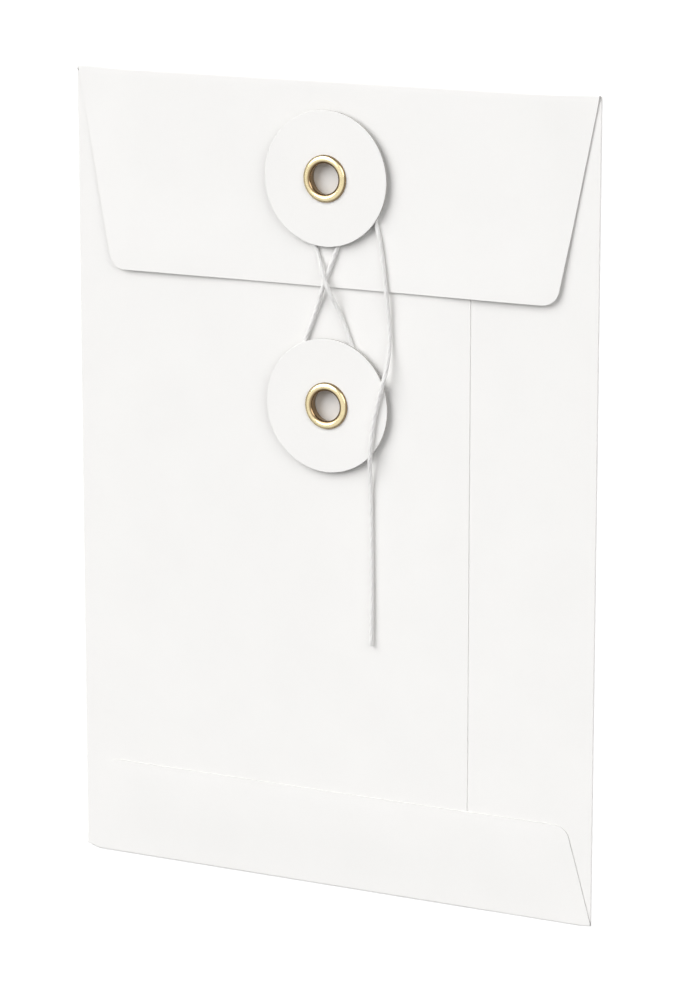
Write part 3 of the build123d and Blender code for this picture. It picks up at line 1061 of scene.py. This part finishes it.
def string_route():
    """Give the string's route: tied round the upper barrel, crossed down to the lower disc,
    round it and crossed back, then round the upper barrel and out as the tail."""
    diameter = bpy.context.scene.envelope.string.diameter
    down_tilt = degrees(asin((TIE_RADIUS + LOWER_LOOP_RADIUS) / DISC_SPACING))
    back_tilt = degrees(asin((RETURN_RADIUS + LOWER_LOOP_RADIUS) / DISC_SPACING))
    tie = loop_points(
        UPPER_Y, TIE_START_RADIUS, TIE_RADIUS,
        360 * TIE_TURNS - down_tilt, -down_tilt, UNDER_UPPER)
    lower_loop = loop_points(
        LOWER_Y, LOWER_LOOP_RADIUS, LOWER_LOOP_RADIUS,
        180 - down_tilt, 360 + back_tilt, UNDER_LOWER)
    return_loop = loop_points(
        UPPER_Y, RETURN_RADIUS, TAIL_RADIUS, 180 + back_tilt, TAIL_LEAN, UNDER_UPPER)
    down_length = DISC_SPACING * cos(radians(down_tilt))
    back_length = DISC_SPACING * cos(radians(back_tilt))
    flap_edge = (tie[-1].y - FLAP_LOW.y) / cos(radians(down_tilt)) + diameter
    lower_rim = sqrt(DISC_RADIUS**2 - LOWER_LOOP_RADIUS**2) + diameter
    upper_rim = sqrt(DISC_RADIUS**2 - RETURN_RADIUS**2) + diameter
    crossing = back_length * LOWER_LOOP_RADIUS / (LOWER_LOOP_RADIUS + RETURN_RADIUS)
    down_strand = strand_points(tie[-1], lower_loop[0], (
        (UNDER_SHARE * flap_edge, ON_FLAP),
        (flap_edge, OVER_EDGE),
        (flap_edge + CREST_RUN, BELOW_EDGE),
        (down_length - lower_rim, AT_LOWER_RIM),
        (down_length - UNDER_SHARE * lower_rim, UNDER_LOWER),
    ))
    back_strand = strand_points(lower_loop[-1], return_loop[0], (
        (UNDER_SHARE * lower_rim, UNDER_LOWER),
        (lower_rim, AT_LOWER_RIM),
        (crossing - BEFORE_CREST, BEFORE_CROSSING),
        (crossing - CREST_RUN, OVER_CROSSING),
        (crossing + AFTER_CREST, OVER_CROSSING),
        (back_length - upper_rim - BEFORE_RIM, ON_FLAP),
        (back_length - upper_rim + AFTER_RIM, ON_FLAP),
        (back_length - UNDER_SHARE * upper_rim, UNDER_UPPER),
    ))
    leaving = (return_loop[-1] - return_loop[-2]).normalized()
    tail_start = return_loop[-1] + leaving * diameter
    tail = [Vector((x * MM, LOWER_Y + y * MM, level + rise * MM)) for x, y, level, rise in TAIL]
    return [*tie, *down_strand, *lower_loop, *back_strand, *return_loop, tail_start, *tail]


def smooth_line(route):
    """Give points along the NURBS curve that has the route as its control points."""
    curve = bpy.data.curves.new("string_route", "CURVE")
    curve.dimensions = "3D"
    curve.resolution_u = CURVE_STEPS
    spline = curve.splines.new("NURBS")
    spline.points.add(len(route) - 1)
    for point, place in zip(spline.points, route):
        point.co = (*place, 1)
    spline.order_u = 3
    spline.use_endpoint_u = True
    holder = add_object("string_route", curve)
    graph = bpy.context.evaluated_depsgraph_get()
    line = bpy.data.meshes.new_from_object(holder.evaluated_get(graph))
    bpy.data.objects.remove(holder)
    bpy.data.curves.remove(curve)
    return line


def laid_string_tree():
    """Build the tree that lays plies round a route: a ring of round plies is swept along it
    and turned by the distance travelled. Each point keeps its place across and along the yarn."""
    laid = GeometryTree("Laid string")
    plies = laid.input("Plies", "Int")
    ply_radius = laid.input("Ply_radius", "Float")
    lay_radius = laid.input("Lay_radius", "Float")
    lay = laid.input("Lay", "Float")
    step = laid.input("Step", "Float")
    material = laid.input("Material", "Material")

    def keep(geometry, name, value, kind="FLOAT"):
        return laid.value("GeometryNodeStoreNamedAttribute", {
            "Geometry": geometry, "Name": name, "Value": value}, data_type=kind)

    route = laid.value("GeometryNodeMeshToCurve", {"Mesh": laid.geometry})
    evenly = laid.value(
        "GeometryNodeResampleCurve", {"Curve": route, "Length": step}, mode="LENGTH")
    travelled = laid.value("GeometryNodeSplineParameter", output="Length")
    angle = laid.math("MULTIPLY", laid.math("DIVIDE", travelled, lay), 2 * pi)
    twisted = laid.value("GeometryNodeSetCurveTilt", {"Curve": evenly, "Tilt": angle})
    centres = laid.value("GeometryNodeMeshCircle", {"Vertices": plies, "Radius": lay_radius})
    ply = laid.value(
        "GeometryNodeCurvePrimitiveCircle", {"Resolution": PLY_SIDES, "Radius": ply_radius})
    ring = laid.value("GeometryNodeInstanceOnPoints", {"Points": centres, "Instance": ply})
    section = laid.value("GeometryNodeRealizeInstances", {"Geometry": ring})
    place = laid.value("GeometryNodeInputPosition")
    swept = laid.value("GeometryNodeCurveToMesh", {
        "Curve": keep(twisted, "travelled", travelled),
        "Profile Curve": keep(section, "across", place, "FLOAT_VECTOR"),
        "Fill Caps": True})
    along = laid.value("GeometryNodeInputNamedAttribute", {"Name": "travelled"})
    across = laid.value(
        "GeometryNodeInputNamedAttribute", {"Name": "across"}, data_type="FLOAT_VECTOR")
    parts = laid.node("ShaderNodeSeparateXYZ", {"Vector": across}).outputs
    yarn = laid.value("ShaderNodeCombineXYZ", {"X": parts["X"], "Y": parts["Y"], "Z": along})
    whole = laid.value(
        "GeometryNodeRealizeInstances", {"Geometry": keep(swept, "yarn", yarn, "FLOAT_VECTOR")})
    painted = laid.value("GeometryNodeSetMaterial", {"Geometry": whole, "Material": material})
    laid.node("NodeGroupOutput", {"Geometry": painted})
    return laid


class ENVELOPE_OT_string(bpy.types.Operator):
    """Lay the cotton string and wind it in a figure of eight under the discs"""

    bl_idname = "envelope.string"
    bl_label = "String"

    def execute(self, context):
        settings = context.scene.envelope
        cord = settings.string
        line = smooth_line(string_route())
        path = [vertex.co.copy() for vertex in line.vertices]
        material = finish(cotton_finish, settings)
        string = add_object("string", line)
        laid_string_tree().apply(
            string, Plies=cord.plies, Ply_radius=PLY_SHARE * cord.diameter,
            Lay_radius=LAY_SHARE * cord.diameter, Lay=cord.lay, Step=STRING_STEP,
            Material=material)
        soften(string, STRING_SOFT_ANGLE)
        hand_in(string, "flap", "cotton_string", material, "string_winding", "string_tail")
        tuple(path[0])
        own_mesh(string)
        return {"FINISHED"}


# Stage

CAMERA_PLACE = Vector((0.36810, 0.17114, 0.69347))
CAMERA_AIM = Vector((0.00231, -0.00148, 0.00100))
KEY_FROM = Vector((-0.48, 0.49, 0.73))
FILL_FROM = Vector((0.73, 0.42, 0.53))
KEY_WIDTH = 54
FILL_WIDTH = 36
FLOOR_HALF = 4.0
FLOOR_DROP = 0.03 * MM
FLOOR_GLOW = 0.45
WHITE = (1, 1, 1)
ROOM_DARK = (0.12, 0.12, 0.12)


class ENVELOPE_OT_stage(bpy.types.Operator):
    """Set the pale floor, the soft light and the camera"""

    bl_idname = "envelope.stage"
    bl_label = "Stage"

    def execute(self, context):
        stage = context.scene.envelope.stage
        self.floor(stage)
        self.lamps(stage)
        self.room(stage)
        self.camera(stage)
        context.scene.view_settings.view_transform = "Standard"
        return {"FINISHED"}

    def floor(self, stage):
        """Lay a wide floor that looks white and still takes shadows."""
        shape = bmesh.new()
        bmesh.ops.create_grid(
            shape, x_segments=2, y_segments=2, size=FLOOR_HALF,
            matrix=Matrix.Translation((0, 0, -FLOOR_DROP)))
        floor = add_shape("floor", shape)
        shader = Shader(bpy.data.materials.new("pale_floor"))
        rays = shader.node("ShaderNodeLightPath").outputs
        seen = shader.math("MAXIMUM", rays["Is Camera Ray"], rays["Is Glossy Ray"])
        seen = shader.math("MAXIMUM", seen, rays["Is Transmission Ray"])
        floor.data.materials.append(shader.look({
            "Base Color": (*stage.floor_colour, 1),
            "Roughness": 0.95,
            "Specular IOR Level": 0.0,
            "Emission Color": (*WHITE, 1),
            "Emission Strength": shader.math("MULTIPLY", seen, FLOOR_GLOW),
        }))

    def lamps(self, stage):
        """Light the envelope softly from the upper left, and less from the right."""
        for name, place, strength, width in (
            ("key", KEY_FROM, stage.key_strength, KEY_WIDTH),
            ("fill", FILL_FROM, stage.fill_strength, FILL_WIDTH),
        ):
            lamp = bpy.data.lights.new(name, "SUN")
            lamp.energy = strength
            lamp.angle = radians(width)
            holder = add_object(name, lamp)
            holder.rotation_mode = "QUATERNION"
            holder.rotation_quaternion = place.to_track_quat("Z", "Y")

    def room(self, stage):
        """Light the envelope evenly from all round. The brass mirrors a room that is darker low
        down, and the picture's background is white."""
        room = Shader(bpy.data.worlds.new("soft_room"), "Background", "Generated")
        rays = room.node("ShaderNodeLightPath").outputs
        bpy.context.scene.world = room.look({
            "Color": (*WHITE, 1),
            "Strength": room.spread(rays["Is Camera Ray"], stage.sky_strength, 1.0),
        })
        height = room.value("ShaderNodeSeparateXYZ", {"Vector": room.coordinates}, "Z")
        mirrored = room.value(
            "ShaderNodeBackground", {"Color": room.ramp(height, (0.1, ROOM_DARK), (0.75, WHITE))})
        mirrors = room.math("MAXIMUM", rays["Is Glossy Ray"], rays["Is Transmission Ray"])
        either = room.value(
            "ShaderNodeMixShader", {0: mirrors, 1: room.surface.outputs[0], 2: mirrored})
        room.feed(room.tree.nodes["World Output"].inputs["Surface"], either)

    def camera(self, stage):
        """Stand the camera where the picture was taken, with +Y upright in it."""
        lens = bpy.data.cameras.new("camera")
        lens.lens = stage.lens
        lens.clip_start = 0.01
        camera = add_object("camera", lens)
        back = (CAMERA_PLACE - CAMERA_AIM).normalized()
        across = Vector((0, 1, 0)).cross(back).normalized()
        turn = Matrix((across, back.cross(across), back)).transposed()
        camera.matrix_world = Matrix.Translation(CAMERA_PLACE) @ turn.to_4x4()
        bpy.context.scene.camera = camera


# Sidebar panel and registration

BUILDERS = (
    ENVELOPE_OT_string,
    ENVELOPE_OT_pocket,
    ENVELOPE_OT_closure_flap,
    ENVELOPE_OT_gum,
    ENVELOPE_OT_discs,
    ENVELOPE_OT_eyelets,
    ENVELOPE_OT_stage,
)


class ENVELOPE_PT_panel(bpy.types.Panel):
    """Sidebar panel with the envelope's settings and pieces."""

    bl_idname = "ENVELOPE_PT_panel"
    bl_label = "String tie envelope"
    bl_space_type = "VIEW_3D"
    bl_region_type = "UI"
    bl_category = "Envelope"

    def draw(self, context):
        settings = context.scene.envelope
        for part in EnvelopeSettings.__annotations__:
            group = getattr(settings, part)
            box = self.layout.box()
            for name in group.__annotations__:
                box.prop(group, name)
        for builder in BUILDERS:
            self.layout.operator(builder.bl_idname)


CLASSES = (
    PaperSettings,
    DiscSettings,
    EyeletSettings,
    StringSettings,
    StageSettings,
    EnvelopeSettings,
    *BUILDERS,
    ENVELOPE_PT_panel,
)


def register():
    for entry in CLASSES:
        bpy.utils.register_class(entry)
    bpy.types.Scene.envelope = PointerProperty(type=EnvelopeSettings)


def unregister():
    del bpy.types.Scene.envelope
    for entry in reversed(CLASSES):
        bpy.utils.unregister_class(entry)


def main():
    """Build every piece and the stage."""
    register()
    bpy.ops.envelope.string()
    bpy.ops.envelope.pocket()
    bpy.ops.envelope.closure_flap()
    bpy.ops.envelope.gum()
    bpy.ops.envelope.discs()
    bpy.ops.envelope.eyelets()
    bpy.ops.envelope.stage()


if __name__ == "__main__":
    main()
